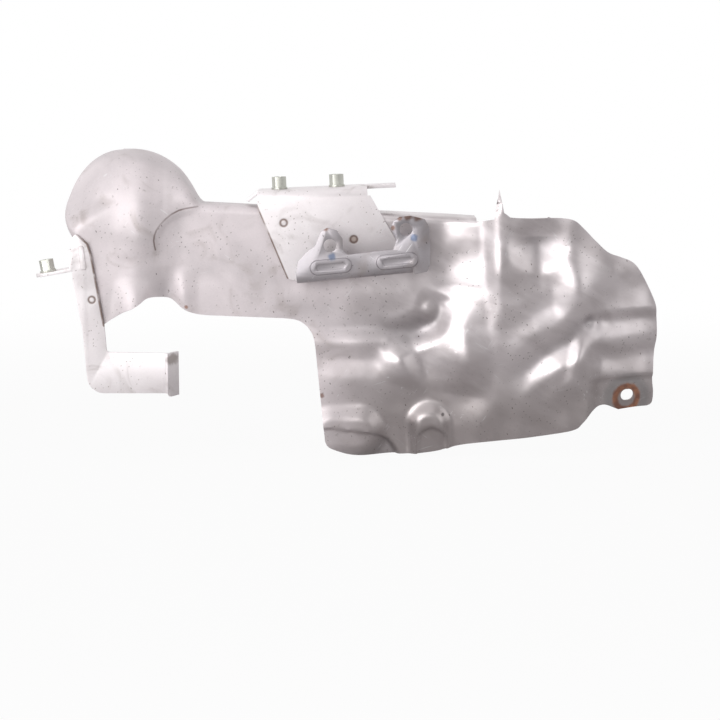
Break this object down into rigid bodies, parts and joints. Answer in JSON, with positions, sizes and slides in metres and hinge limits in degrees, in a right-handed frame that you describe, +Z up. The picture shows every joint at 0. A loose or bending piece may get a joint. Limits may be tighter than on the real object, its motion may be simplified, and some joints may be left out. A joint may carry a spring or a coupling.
{
  "type": "turbo heat shield",
  "caption": "Pressed metal heat shield with a domed end, a folded top edge and a dented panel, carrying welded steel brackets with weld nuts and an eared mounting bracket.",
  "frame": {"origin": "midway between the two ear holes, on the front face of the ear bracket", "axes": "+X to the right along the shield, +Y away from the viewer towards the hot side, +Z up"},
  "size_m": [0.4042, 0.0564, 0.2005],
  "materials": {
    "aluminised_sheet": "matte aluminised sheet, scratched and dented",
    "bracket_steel": "satin steel with fine scratches",
    "zinc_plated_steel": "zinc plated, with darker stains",
    "nut_steel": "plain steel, slightly dull"
  },
  "bodies": {
    "root": {"main_shell": "aluminised_sheet", "strap_bracket": "bracket_steel", "top_bracket": "bracket_steel", "ear_bracket": "zinc_plated_steel", "weld_nuts": "nut_steel"}
  },
  "joints": []
}
